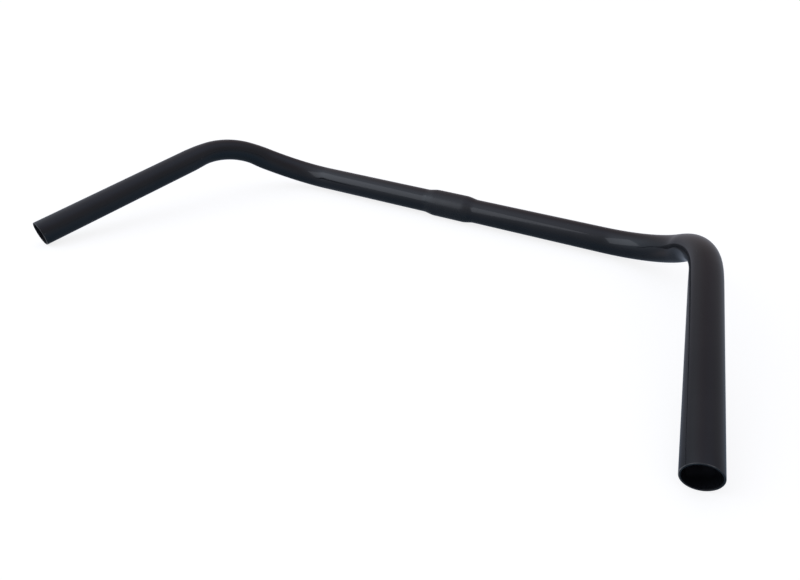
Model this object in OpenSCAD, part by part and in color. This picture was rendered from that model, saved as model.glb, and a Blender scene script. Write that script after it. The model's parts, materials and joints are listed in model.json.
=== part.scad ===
// Swept-back handlebar: one bent steel tube, with a sleeve brazed round its centre for the stem's clamp.
// The origin is the centre of the clamp. +X is the rider's right and +Y is forward, so the grips go back
// along -Y. The bar lies on its sleeve and on the ends of both grips, and +Z is up from that surface.

/* [Tube] */
// Outer diameter of the tube, which is also the diameter of the grips
tube_d = 22.2; // [20:0.1:24]
// Thickness of the tube's wall
wall = 1.2; // [1:0.1:2.5]
// Bevel that takes the burr off the outer edge of each end
deburr = 0.3; // [0.1:0.05:0.5]

/* [Clamp sleeve] */
// Diameter of the sleeve where the clamp holds it
clamp_d = 25.4; // [25:0.1:32]
// Length of the sleeve's full-diameter seat
seat_length = 30; // [20:1:50]
// Length of the taper from the seat down to the tube, on each side
taper_length = 13; // [8:0.5:20]
// Share of the taper that is sleeve, before the braze begins
sleeve_share = 0.62; // [0.4:0.01:0.75]

/* [Bends] */
// Length of the straight centre, between the first bends
centre_length = 300; // [200:5:400]
// Radius of every bend, to the middle of the tube
bend_r = 80; // [50:1:100]
// Angle of the first bend
first_bend = 59; // [30:1:75]
// Length of the straight between the first bend and the second
link_length = 2; // [2:1:40]
// Turn of the second bend's plane from the first's, about the tube
bend_turn = 77; // [50:1:90]
// Angle of the second bend
second_bend = 47; // [20:1:60]
// Length of the straight grip, from the second bend to the end
grip_length = 168; // [120:1:200]
// How far bending draws in the tube's surface
drawdown = 0.1; // [0.05:0.05:0.4]
// Slope of the first bends, which brings the sleeve and both grip ends onto one surface
rise = 34.62; // [0:0.01:60]

/* [Hidden] */
$fn = 96;

tube_r = tube_d / 2;
bore_r = tube_r - wall;
clamp_r = clamp_d / 2;
seat_end = seat_length / 2;
sleeve_end = seat_end + sleeve_share * taper_length;
// Each straight runs this far into the slimmer bends beside it, so that they are one solid.
overlap = 0.5;
outline_steps = 12;
paint = "#1b1c20";

// Radius of the outside at a share of the taper, an S that leaves the seat and meets the tube smoothly.
function taper_radius(share) = tube_r + (clamp_r - tube_r) * (1 + cos(180 * share)) / 2;

// Points on the taper's outline from one share of its length to another, as [radius, distance from centre].
function taper_outline(from, to) = [
    for (i = [0 : outline_steps])
        let (share = from + (to - from) * i / outline_steps)
        [taper_radius(share), seat_end + share * taper_length]
];

// Lays along +X what is drawn along +Z.
module along_x() rotate([0, 90, 0]) children();

module both_sides() {
    children();
    mirror([1, 0, 0]) children();
}

// Carries what is drawn along +Z from the start of a bend to its end.
module past_bend(angle) translate([bend_r, 0, 0]) rotate([0, angle, 0]) translate([-bend_r, 0, 0]) children();

// Each of these puts what is drawn along +Z where that stretch of the right side starts. At a bend, +X is
// towards the bend's centre.
module at_first_bend() translate([centre_length / 2, 0, 0]) rotate([-90 - rise, 0, 0]) along_x() children();
module at_link() at_first_bend() past_bend(first_bend) rotate([0, 0, bend_turn]) children();
module at_second_bend() at_link() translate([0, 0, link_length]) children();
module at_grip() at_second_bend() past_bend(second_bend) children();

// A bend in a round bar, which starts at the origin along +Z and turns towards +X.
module bend(angle, r) {
    translate([bend_r, 0, 0])
        rotate([90, angle - 180, 0])
        rotate_extrude(angle = angle)
        translate([bend_r, 0])
        circle(r);
}

// A straight round bar along +Z, which starts in the bend before it.
module straight(length, r) translate([0, 0, -overlap]) cylinder(h = length + overlap, r = r);

// A round bar along the tube's whole course, which runs on past the tube's ends by extra.
module course(r, extra) {
    along_x() cylinder(h = centre_length + 2 * overlap, r = r, center = true);
    both_sides() {
        at_first_bend() bend(first_bend, r - drawdown);
        at_link() straight(link_length + overlap, r);
        at_second_bend() bend(second_bend, r - drawdown);
        at_grip() straight(grip_length + extra, r);
    }
}

// The ring that is cut off the outer edge at the end of a grip.
module burr() {
    translate([0, 0, grip_length]) rotate_extrude()
        polygon([
            [tube_r - 2 * deburr, deburr],
            [tube_r + deburr, deburr],
            [tube_r + deburr, -2 * deburr],
        ]);
}

module bar_tube() {
    color(paint) difference() {
        course(tube_r, 0);
        course(bore_r, 1);
        both_sides() at_grip() burr();
    }
}

module clamp_sleeve() {
    right_half = taper_outline(0, sleeve_share);
    left_half = [for (i = [outline_steps : -1 : 0]) [right_half[i][0], -right_half[i][1]]];
    color(paint) along_x() rotate_extrude()
        polygon(concat(right_half, [[tube_r, sleeve_end], [tube_r, -sleeve_end]], left_half));
}

module right_braze_fillet() {
    color(paint) along_x() rotate_extrude()
        polygon(concat([[tube_r, sleeve_end]], taper_outline(sleeve_share, 1)));
}

module left_braze_fillet() mirror([1, 0, 0]) right_braze_fillet();

bar_tube();
clamp_sleeve();
left_braze_fillet();
right_braze_fillet();
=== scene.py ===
"""Looks of the swept-back handlebar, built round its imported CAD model.

Lengths are metres, in the CAD model's frame: the origin is the centre of the clamp seat, +X is the rider's
right, +Y is forward and +Z is up from the floor that the bar lies on.
"""

import json
import math

import bpy
import numpy as np
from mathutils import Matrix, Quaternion, Vector


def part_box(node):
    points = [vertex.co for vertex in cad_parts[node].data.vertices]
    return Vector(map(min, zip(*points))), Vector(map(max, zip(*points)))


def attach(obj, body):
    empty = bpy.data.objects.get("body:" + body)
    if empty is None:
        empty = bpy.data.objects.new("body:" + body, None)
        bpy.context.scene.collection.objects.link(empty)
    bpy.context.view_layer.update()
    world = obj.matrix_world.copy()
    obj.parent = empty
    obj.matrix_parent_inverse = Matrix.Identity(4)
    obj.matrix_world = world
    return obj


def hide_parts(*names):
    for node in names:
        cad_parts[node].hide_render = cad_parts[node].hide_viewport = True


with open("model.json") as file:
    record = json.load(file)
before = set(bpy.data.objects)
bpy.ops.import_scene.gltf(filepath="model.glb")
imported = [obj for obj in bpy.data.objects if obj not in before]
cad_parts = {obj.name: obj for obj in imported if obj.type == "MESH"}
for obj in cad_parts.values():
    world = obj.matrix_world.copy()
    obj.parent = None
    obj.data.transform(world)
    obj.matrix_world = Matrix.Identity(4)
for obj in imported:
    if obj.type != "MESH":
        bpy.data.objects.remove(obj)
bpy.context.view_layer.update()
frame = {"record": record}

# ---------------------------------------------------------------- sizes

MM = 0.001
MOUNTS = {mount["name"]: mount for mount in frame["record"]["mounts"]}


def mount_size(name, key):
    """A size that the record states for a mount, in metres."""
    return MOUNTS[name]["dims"][key] * MM


TUBE_R = mount_size("right_grip", "r_mm")
BORE_R = mount_size("right_end_bore", "r_mm")
CLAMP_R = mount_size("clamp_seat", "r_mm")
SEAT_END = mount_size("clamp_seat", "length_mm") / 2
GRIP_LENGTH = mount_size("right_grip", "length_mm")
SLEEVE_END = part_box("clamp_sleeve")[1].x
TAPER_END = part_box("right_braze_fillet")[1].x
FLOOR_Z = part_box("clamp_sleeve")[0].z

# The tube's course, as part.scad has it.
CENTRE_LENGTH = 300 * MM
BEND_R = 80 * MM
FIRST_BEND = math.radians(59)
LINK_LENGTH = 2 * MM
BEND_TURN = math.radians(77)
SECOND_BEND = math.radians(47)
RISE = math.radians(34.62)

# A bend flattens the tube in the bend's own plane and widens it a little across that plane. Each bend's
# flattening comes and goes over this length of tube.
FLATTENING = 0.073
WIDENING = 0.005
FLATTENING_RAMP = 18 * MM

# Rounding of the outer and inner edges at each end of the tube.
LIP_R = 0.50 * MM
BORE_LIP_R = 0.35 * MM

# Fineness of the meshes: points round the tube, the spacing of the rings along it, the steps in each rounded
# edge, and the angle above which an edge shades as sharp.
SIDES = 96
BEND_STEP = 2 * MM
STRAIGHT_STEP = 10 * MM
TAPER_STEP = 0.5 * MM
LIP_STEPS = 6
SHARP = math.radians(50)

# Half the side of the square floor.
FLOOR_HALF = 20.0

# ---------------------------------------------------------------- colours

PAINT_DARK = (0.0040, 0.0044, 0.0060, 1)
PAINT_LIGHT = (0.0065, 0.0064, 0.0080, 1)
DUST_COLOUR = (0.10, 0.10, 0.11, 1)
STEEL_WORN = (0.55, 0.54, 0.53, 1)
STEEL_DARK = (0.026, 0.027, 0.036, 1)
STEEL_LIGHT = (0.062, 0.062, 0.072, 1)
FLOOR_DARK = (0.25, 0.25, 0.25, 1)
FLOOR_LIGHT = (0.27, 0.27, 0.27, 1)

# ---------------------------------------------------------------- textures

# A scale is a number of bumps or patches to the metre. Noise goes from 0 to 1, and a range is the part of it
# that an effect is spread over.

# The paint: its roughness, its uneven black, the patches that handling has rubbed and how much rougher they
# are, the waves of its orange peel, and its fine grain.
SMOOTH_PAINT = 0.08
BLACK_SCALE = 32.0
BLACK_RANGE = (0.35, 0.65)
RUBBED_SCALE = 75.0
RUBBED_RANGE = (0.45, 0.75)
RUBBED_ROUGHER = 0.12
PEEL_SCALE = 420.0
PEEL_HEIGHT = 0.02 * MM
GRAIN_SCALE = 2600.0
GRAIN_HEIGHT = 0.0016 * MM

# Wear of the paint at the tube's ends: how far in the edge's crest lies, the share of bare steel there and
# on the end's flat face, the patches of wear, and how much of it there is between them.
CREST_DEPTH = 0.20 * MM
CREST_WEAR = 0.60
FACE_WEAR = 0.02
WEAR_SCALE = 70.0
WEAR_RANGE = (0.50, 0.62)
WEAR_BETWEEN = 0.12

# Specks of dust: cells to the metre, the range over which a cell's random number comes to mean a speck, the
# distances from the cell's middle between which a speck fades out, how far noise pulls that edge in, both as
# shares of a cell, and how much rougher and higher than the paint a speck is.
DUST_CELLS = 260.0
DUST_PICKED = (0.965, 0.975)
DUST_EDGE = (0.11, 0.15)
DUST_RAGGED = 0.16
DUST_RAGGED_SCALE = 4000.0
DUST_ROUGHER = 0.4
DUST_HEIGHT = 0.05 * MM

# Inside of the tube: the depths between which paint gives way to steel, how far noise shifts them, the
# roughness of each, and the steel's relief.
BARE_DEPTHS = (14 * MM, 24 * MM)
BARE_SHIFT = 14 * MM
BARE_SCALE = 90.0
BORE_PAINT_ROUGHNESS = 0.35
BORE_STEEL_ROUGHNESS = 0.6
DRAWN_SCALE = 700.0
DRAWN_HEIGHT = 0.03 * MM

# The floor: its faint shades, its grain and its roughness.
FLOOR_SHADE_SCALE = 1.5
FLOOR_GRAIN_SCALE = 900.0
FLOOR_GRAIN_HEIGHT = 0.01 * MM
FLOOR_ROUGHNESS = 0.8

# ---------------------------------------------------------------- lights and camera

# What the gloss mirrors, from straight down to straight up: height of the direction, and colour.
ROOM = [
    (-1.00, (0.09, 0.09, 0.10)),
    (-0.60, (0.15, 0.20, 0.27)),
    (0.00, (0.29, 0.32, 0.38)),
    (0.50, (0.31, 0.30, 0.33)),
    (1.00, (0.30, 0.20, 0.21)),
]

# Wide, soft patches of light in the room: azimuth and elevation in degrees, how narrow, and colour.
GLOWS = [
    (-118, 43, 4.0, (0.60, 0.76, 0.92)),
    (70, 73, 6.0, (0.18, 0.31, 0.43)),
    (120, -60, 2.0, (0.01, 0.08, 0.14)),
    (-84, -34, 30.0, (0.14, 0.09, 0.06)),
    (-20, 0, 3.0, (0.08, 0.04, 0.02)),
]

# The soft light from above, which spreads over this angle, and the light that the floor gives off itself.
OVERHEAD_ANGLE = math.radians(140)
OVERHEAD_STRENGTH = 0.5
FLOOR_GLOW = 0.82

# The window: azimuth and elevation in degrees, distance, width and height, and how bright it looks.
WINDOW_AT = (-134, 31)
WINDOW_DISTANCE = 2.9
WINDOW_SIZE = (2.5, 2.1)
WINDOW_RADIANCE = 0.76
WINDOW_COLOUR = (0.89, 0.92, 1.0)

# The camera: where it is, what it looks at, its roll, and its lens in millimetres.
CAMERA_FROM = (0.28669, -0.54078, 0.24007)
CAMERA_TO = (0.0500, -0.1705, 0.0)
CAMERA_ROLL = math.radians(-0.12)
CAMERA_LENS = 30.07

# ---------------------------------------------------------------- the tube's course


def smooth(share):
    """0 to 1 as an S."""
    share = min(max(share, 0.0), 1.0)
    return share * share * (3 - 2 * share)


def spaced(length, step):
    """Distances from one step to length, evenly spaced."""
    count = max(1, round(length / step))
    return [length * (i + 1) / count for i in range(count)]


class Station:
    """A place on the tube's axis: its distance along the course, and the directions along and across."""

    def __init__(self, s, point, along, side, up):
        self.s = s
        self.point = point
        self.along = along
        self.side = side
        self.up = up

    def ahead(self, distance):
        """The station this far on, where the tube is straight."""
        return Station(self.s + distance, self.point + self.along * distance, self.along, self.side, self.up)

    def turned(self, angle, plane):
        """The station at this angle into a bend, whose centre lies at angle plane from side towards up."""
        inward = self.side * math.cos(plane) + self.up * math.sin(plane)
        axis = np.cross(self.along, inward)
        centre = self.point + inward * BEND_R
        return Station(
            self.s + BEND_R * angle,
            centre + rotated(-inward * BEND_R, axis, angle),
            rotated(self.along, axis, angle),
            rotated(self.side, axis, angle),
            rotated(self.up, axis, angle),
        )


def rotated(vector, axis, angle):
    """vector turned about a unit axis."""
    cos, sin = math.cos(angle), math.sin(angle)
    return vector * cos + np.cross(axis, vector) * sin + axis * np.dot(axis, vector) * (1 - cos)


def right_course():
    """Stations from the middle of the bar to its right end, and where its two bends start and end."""
    inward = np.array([0, -math.cos(RISE), math.sin(RISE)])
    along = np.array([1.0, 0, 0])
    stations = [Station(0.0, np.zeros(3), along, inward, np.cross(along, inward))]
    bends = []

    def straight(length):
        start = stations[-1]
        stations.extend(start.ahead(d) for d in spaced(length, STRAIGHT_STEP))

    def bend(angle, plane):
        start = stations[-1]
        stations.extend(start.turned(d / BEND_R, plane) for d in spaced(BEND_R * angle, BEND_STEP))
        bends.append((start.s, stations[-1].s, plane))

    straight(CENTRE_LENGTH / 2)
    bend(FIRST_BEND, 0.0)
    straight(LINK_LENGTH)
    bend(SECOND_BEND, BEND_TURN)
    straight(GRIP_LENGTH)
    return stations, bends


def outline(station, radius, bends):
    """The tube's outline at a station, one point for each side."""
    angles = np.arange(SIDES) * 2 * math.pi / SIDES
    x, y = radius * np.cos(angles), radius * np.sin(angles)
    for start, end, plane in bends:
        # Half of each ramp lies before the bend's start or after its end.
        before = smooth((station.s - start) / FLATTENING_RAMP + 0.5)
        after = smooth((end - station.s) / FLATTENING_RAMP + 0.5)
        share = before * after
        cos, sin = math.cos(plane), math.sin(plane)
        inward = (x * cos + y * sin) * (1 - FLATTENING * share)
        sideways = (y * cos - x * sin) * (1 + WIDENING * share)
        x, y = inward * cos - sideways * sin, inward * sin + sideways * cos
    return station.point + np.outer(x, station.side) + np.outer(y, station.up)


# ---------------------------------------------------------------- pieces


def skin_radius(s):
    """Radius of the bar's outside near its centre: the seat, then an S down to the tube."""
    share = min(max((s - SEAT_END) / (TAPER_END - SEAT_END), 0.0), 1.0)
    return TUBE_R + (CLAMP_R - TUBE_R) * (1 + math.cos(math.pi * share)) / 2


def closed_skin(name, rings):
    """A piece whose surface joins each ring of points to the next, and the last ring to the first."""
    count = len(rings)
    faces = []
    for i in range(count):
        here, there = i * SIDES, (i + 1) % count * SIDES
        for j in range(SIDES):
            k = (j + 1) % SIDES
            faces.append((here + j, here + k, there + k, there + j))
    mesh = bpy.data.meshes.new(name)
    mesh.from_pydata(np.concatenate(rings).tolist(), [], faces)
    mesh.polygons.foreach_set("use_smooth", [True] * len(faces))
    mesh.set_sharp_from_angle(angle=SHARP)
    piece = bpy.data.objects.new(name, mesh)
    bpy.context.scene.collection.objects.link(piece)
    return piece


def mirrored(rings):
    """The same rings on the bar's left side, in reverse order so that the surface still faces outwards."""
    return [ring * np.array([-1, 1, 1]) for ring in reversed(rings)]


def across(right_rings):
    """Rings from the left end to the right end. The first of right_rings is the one at the middle."""
    return mirrored(right_rings[1:]) + right_rings


def wall(course, radius, lip_r):
    """One wall of the tube from its middle to its right end: each ring's station and radius.

    The edge at the end is rounded by lip_r. That is positive on the outer wall, where it rounds inwards."""
    end = course[-1]
    rounded = []
    for i in range(LIP_STEPS + 1):
        angle = math.pi / 2 * i / LIP_STEPS
        station = end.ahead(abs(lip_r) * (math.sin(angle) - 1))
        rounded.append((station, radius - lip_r * (1 - math.cos(angle))))
    return [(station, radius) for station in course[:-1]] + rounded


def make_tube(course, bends):
    """The bent tube, with its wall, both open ends and the bore right through it."""
    walls = [wall(course, TUBE_R, LIP_R), wall(course, BORE_R, -BORE_LIP_R)]
    outer, inner = [across([outline(station, radius, bends) for station, radius in half]) for half in walls]
    tube = closed_skin("bar_tube_painted", outer + inner[::-1])
    tube.data.materials.append(gloss_paint("tube_paint", worn_ends=True))
    tube.data.materials.append(bore_finish())
    bore_start, bore_end = len(outer) * SIDES, (len(outer) + len(inner) - 1) * SIDES
    for face in tube.data.polygons[bore_start:bore_end]:
        face.material_index = 1
    store_depths(tube, walls)
    return tube


def store_depths(tube, walls):
    """Stores how far each point of the tube lies from the nearer end, along the tube."""
    depths = []
    for half in walls:
        from_end = [half[-1][0].s - station.s for station, _ in half]
        depths += from_end[:0:-1] + from_end
    tube.data.attributes.new("depth", "FLOAT", "POINT").data.foreach_set("value", np.repeat(depths, SIDES))


def make_sleeve(middle):
    """The sleeve round the tube's centre, up to where the braze begins on each side."""
    steps = [0.0, SEAT_END] + [SEAT_END + d for d in spaced(SLEEVE_END - SEAT_END, TAPER_STEP)]
    outer = across([outline(middle.ahead(s), skin_radius(s), []) for s in steps])
    inner = across([outline(middle.ahead(s), TUBE_R, []) for s in (0.0, SLEEVE_END)])
    sleeve = closed_skin("clamp_sleeve_painted", outer + inner[::-1])
    sleeve.data.materials.append(gloss_paint("sleeve_paint", peel=0.8, roughness=0.26))
    return sleeve


def make_fillet(side, middle):
    """The braze that fills the corner between the sleeve's end and the tube."""
    steps = [SLEEVE_END] + [SLEEVE_END + d for d in spaced(TAPER_END - SLEEVE_END, TAPER_STEP)]
    rings = [outline(middle.ahead(s), skin_radius(s), []) for s in steps]
    rings.append(outline(middle.ahead(SLEEVE_END), TUBE_R, []))
    if side == "left":
        rings = mirrored(rings)
    fillet = closed_skin(f"{side}_braze_fillet_painted", rings)
    fillet.data.materials.append(gloss_paint(f"{side}_braze_paint", peel=1.3))
    return fillet


# ---------------------------------------------------------------- materials


def node(tree, kind, inputs, **settings):
    """Adds a node. Each input is a value, or the socket that feeds it."""
    made = tree.nodes.new(kind)
    for name, value in settings.items():
        setattr(made, name, value)
    for name, value in inputs.items():
        if isinstance(value, bpy.types.NodeSocket):
            tree.links.new(value, made.inputs[name])
        else:
            made.inputs[name].default_value = value
    return made


def noise(tree, place, scale, detail=2.0):
    """Smooth noise with about scale bumps to the metre, from 0 to 1."""
    inputs = {"Vector": place, "Scale": scale, "Detail": detail}
    return node(tree, "ShaderNodeTexNoise", inputs).outputs["Fac"]


def remap(tree, value, low, high, to_low, to_high):
    """value taken from the range low to high into the range to_low to to_high, and held there."""
    inputs = {"Value": value, "From Min": low, "From Max": high, "To Min": to_low, "To Max": to_high}
    return node(tree, "ShaderNodeMapRange", inputs, clamp=True).outputs["Result"]


def mixed(tree, share, first, second):
    """A colour between two others."""
    made = tree.nodes.new("ShaderNodeMix")
    made.data_type = "RGBA"
    sockets = [socket for socket in made.inputs if socket.enabled]
    for socket, value in zip(sockets, (share, first, second)):
        if isinstance(value, bpy.types.NodeSocket):
            tree.links.new(value, socket)
        else:
            socket.default_value = value
    return [socket for socket in made.outputs if socket.enabled][0]


def combined(tree, operation, first, second):
    """Two values taken together by a Math node's operation."""
    return node(tree, "ShaderNodeMath", {0: first, 1: second}, operation=operation).outputs[0]


def product(tree, first, second):
    """Two values multiplied."""
    return combined(tree, "MULTIPLY", first, second)


def total(tree, first, second):
    """Two values added."""
    return combined(tree, "ADD", first, second)


def bump(tree, height, distance, strength=1.0, before=None):
    """Relief from a height of 0 to 1, this many metres high at full strength, laid over the one before."""
    inputs = {"Height": height, "Distance": distance, "Strength": strength}
    if before is not None:
        inputs["Normal"] = before
    return node(tree, "ShaderNodeBump", inputs).outputs["Normal"]


def new_material(name):
    """An empty material: its nodes, its shader and the place of each point in metres."""
    material = bpy.data.materials.new(name)
    material.use_nodes = True
    tree = material.node_tree
    shader = tree.nodes["Principled BSDF"]
    place = node(tree, "ShaderNodeTexCoord", {}).outputs["Object"]
    return material, tree, shader, place


def feed(tree, shader, sockets):
    """Links sockets to the shader's inputs."""
    for name, socket in sockets.items():
        tree.links.new(socket, shader.inputs[name])


def depth_in(tree):
    """How far a point of the tube lies from the nearer end."""
    return node(tree, "ShaderNodeAttribute", {}, attribute_name="depth").outputs["Fac"]


def dust(tree, place):
    """1 on the few small specks of dust that lie on the paint, 0 elsewhere."""
    cells = node(tree, "ShaderNodeTexVoronoi", {"Vector": place, "Scale": DUST_CELLS})
    ragged = product(tree, noise(tree, place, DUST_RAGGED_SCALE, detail=1.0), DUST_RAGGED)
    near = remap(tree, total(tree, cells.outputs["Distance"], ragged), *DUST_EDGE, 1.0, 0.0)
    pick = node(tree, "ShaderNodeSeparateColor", {"Color": cells.outputs["Color"]}).outputs["Red"]
    return product(tree, near, remap(tree, pick, *DUST_PICKED, 0.0, 1.0))


def end_wear(tree, place):
    """Share of bare steel that shows through the paint at the tube's ends, most on each edge's crest."""
    depth = depth_in(tree)
    face_to_crest = remap(tree, depth, 0.0, CREST_DEPTH, FACE_WEAR, CREST_WEAR)
    crest_to_wall = remap(tree, depth, CREST_DEPTH, 2 * CREST_DEPTH, 1.0, 0.0)
    patches = remap(tree, noise(tree, place, WEAR_SCALE, detail=3.0), *WEAR_RANGE, WEAR_BETWEEN, 1.0)
    return product(tree, product(tree, face_to_crest, crest_to_wall), patches)


def gloss_paint(name, peel=1.0, roughness=SMOOTH_PAINT, worn_ends=False):
    """Gloss black paint: a slightly uneven black, orange peel, faint rubbed patches and a little dust.

    peel is the strength of the orange peel, and roughness is that between the rubbed patches."""
    material, tree, shader, place = new_material(name)
    speck = dust(tree, place)
    uneven = remap(tree, noise(tree, place, BLACK_SCALE, detail=4.0), *BLACK_RANGE, 0.0, 1.0)
    colour = mixed(tree, uneven, PAINT_DARK, PAINT_LIGHT)
    handled = noise(tree, place, RUBBED_SCALE, detail=5.0)
    rubbed = remap(tree, handled, *RUBBED_RANGE, roughness, roughness + RUBBED_ROUGHER)
    dusty = total(tree, rubbed, product(tree, speck, DUST_ROUGHER))
    waves = bump(tree, noise(tree, place, PEEL_SCALE, detail=1.0), PEEL_HEIGHT, peel)
    grain = bump(tree, noise(tree, place, GRAIN_SCALE), GRAIN_HEIGHT, before=waves)
    specks = bump(tree, speck, DUST_HEIGHT, before=grain)
    colour = mixed(tree, speck, colour, DUST_COLOUR)
    if worn_ends:
        wear = end_wear(tree, place)
        colour = mixed(tree, wear, colour, STEEL_WORN)
        feed(tree, shader, {"Metallic": wear})
    feed(tree, shader, {"Base Color": colour, "Roughness": dusty, "Normal": specks})
    return material


def bore_finish():
    """Inside of the tube: paint that reaches a little way in, then dark, drawn steel."""
    material, tree, shader, place = new_material("bore_steel")
    depth = depth_in(tree)
    cloud = noise(tree, place, BARE_SCALE, detail=4.0)
    shifted = total(tree, depth, product(tree, cloud, BARE_SHIFT))
    bare = remap(tree, shifted, *BARE_DEPTHS, 0.0, 1.0)
    steel = mixed(tree, cloud, STEEL_DARK, STEEL_LIGHT)
    roughness = remap(tree, bare, 0.0, 1.0, BORE_PAINT_ROUGHNESS, BORE_STEEL_ROUGHNESS)
    feed(tree, shader, {
        "Base Color": mixed(tree, bare, PAINT_DARK, steel),
        "Roughness": roughness,
        "Normal": bump(tree, noise(tree, place, DRAWN_SCALE, detail=3.0), DRAWN_HEIGHT),
    })
    return material


def floor_finish():
    """A matt table, made white mostly by its own light, so that the bar throws only a faint shadow on it."""
    material, tree, shader, place = new_material("floor_white")
    shade = noise(tree, place, FLOOR_SHADE_SCALE, detail=3.0)
    feed(tree, shader, {
        "Base Color": mixed(tree, shade, FLOOR_DARK, FLOOR_LIGHT),
        "Normal": bump(tree, noise(tree, place, FLOOR_GRAIN_SCALE), FLOOR_GRAIN_HEIGHT),
    })
    shader.inputs["Roughness"].default_value = FLOOR_ROUGHNESS
    shader.inputs["Emission Color"].default_value = (1, 1, 1, 1)
    shader.inputs["Emission Strength"].default_value = FLOOR_GLOW
    return material


# ---------------------------------------------------------------- stage


def make_floor():
    """A pale floor under the bar. The gloss doesn't mirror it, so that the bar's underside stays dark."""
    signs = [(-1, -1), (1, -1), (1, 1), (-1, 1)]
    corners = [(x * FLOOR_HALF, y * FLOOR_HALF, FLOOR_Z) for x, y in signs]
    mesh = bpy.data.meshes.new("floor")
    mesh.from_pydata(corners, [], [(0, 1, 2, 3)])
    mesh.materials.append(floor_finish())
    floor = bpy.data.objects.new("floor", mesh)
    floor.visible_glossy = False
    bpy.context.scene.collection.objects.link(floor)


def aim(azimuth, elevation):
    """The direction at an azimuth from +Y towards +X and at an elevation, both in degrees."""
    azimuth, elevation = math.radians(azimuth), math.radians(elevation)
    flat = math.cos(elevation)
    return (math.sin(azimuth) * flat, math.cos(azimuth) * flat, math.sin(elevation))


def make_room():
    """The dim room that the gloss mirrors: a colour for each height, and glows. The camera sees white."""
    world = bpy.data.worlds.new("room")
    bpy.context.scene.world = world
    world.use_nodes = True
    tree = world.node_tree
    direction = node(tree, "ShaderNodeTexCoord", {}).outputs["Generated"]
    parts = node(tree, "ShaderNodeSeparateXYZ", {"Vector": direction}).outputs
    ramp = tree.nodes.new("ShaderNodeValToRGB")
    tree.links.new(remap(tree, parts["Z"], -1.0, 1.0, 0.0, 1.0), ramp.inputs["Fac"])
    while len(ramp.color_ramp.elements) < len(ROOM):
        ramp.color_ramp.elements.new(1.0)
    for stop, (height, colour) in zip(ramp.color_ramp.elements, ROOM):
        stop.position = (height + 1) / 2
        stop.color = (*colour, 1)
    light = ramp.outputs["Color"]
    for azimuth, elevation, narrow, colour in GLOWS:
        sides = {0: direction, 1: aim(azimuth, elevation)}
        facing = node(tree, "ShaderNodeVectorMath", sides, operation="DOT_PRODUCT").outputs["Value"]
        share = combined(tree, "POWER", combined(tree, "MAXIMUM", facing, 0.0), narrow)
        glow = node(tree, "ShaderNodeVectorMath", {0: colour, "Scale": share}, operation="SCALE").outputs[0]
        light = node(tree, "ShaderNodeVectorMath", {0: light, 1: glow}, operation="ADD").outputs[0]
    room = node(tree, "ShaderNodeBackground", {"Color": light})
    white = node(tree, "ShaderNodeBackground", {"Color": (1, 1, 1, 1), "Strength": 1.0})
    is_camera = node(tree, "ShaderNodeLightPath", {}).outputs["Is Camera Ray"]
    both = node(tree, "ShaderNodeMixShader", {0: is_camera, 1: room.outputs[0], 2: white.outputs[0]})
    tree.links.new(both.outputs[0], tree.nodes["World Output"].inputs["Surface"])


def make_overhead():
    """Soft light from above for the floor and the paint's own colour. The gloss doesn't mirror it."""
    light = bpy.data.lights.new("overhead", "SUN")
    light.angle = OVERHEAD_ANGLE
    light.energy = OVERHEAD_STRENGTH
    overhead = bpy.data.objects.new("overhead", light)
    overhead.visible_glossy = False
    bpy.context.scene.collection.objects.link(overhead)


def make_window():
    """The large soft light whose reflection runs along the bar's centre."""
    light = bpy.data.lights.new("window", "AREA")
    light.shape = "RECTANGLE"
    light.size, light.size_y = WINDOW_SIZE
    # An area light's power is pi times its radiance and its area.
    light.energy = WINDOW_RADIANCE * math.pi * light.size * light.size_y
    light.color = WINDOW_COLOUR
    window = bpy.data.objects.new("window", light)
    towards = Vector(aim(*WINDOW_AT))
    window.location = towards * WINDOW_DISTANCE
    window.rotation_euler = towards.to_track_quat("Z", "Y").to_euler()
    window.visible_camera = False
    bpy.context.scene.collection.objects.link(window)


def make_camera():
    """The camera, beyond the right grip and above it."""
    lens = bpy.data.cameras.new("camera")
    lens.sensor_width = 36.0
    lens.lens = CAMERA_LENS
    lens.clip_start = 0.01
    camera = bpy.data.objects.new("camera", lens)
    camera.location = CAMERA_FROM
    turn = (Vector(CAMERA_TO) - Vector(CAMERA_FROM)).to_track_quat("-Z", "Y")
    camera.rotation_euler = (turn @ Quaternion((0, 0, 1), CAMERA_ROLL)).to_euler()
    bpy.context.scene.collection.objects.link(camera)
    bpy.context.scene.camera = camera
    bpy.context.scene.view_settings.view_transform = "Standard"


# ---------------------------------------------------------------- scene

make_camera()
make_room()
make_overhead()
make_window()
make_floor()

course, bends = right_course()
pieces = {
    "bar_tube": (make_tube(course, bends), "painted_tube"),
    "clamp_sleeve": (make_sleeve(course[0]), "painted_sleeve"),
    "left_braze_fillet": (make_fillet("left", course[0]), "painted_braze"),
    "right_braze_fillet": (make_fillet("right", course[0]), "painted_braze"),
}
for cad_node, (piece, slot) in pieces.items():
    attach(piece, "root")
    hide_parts(cad_node)
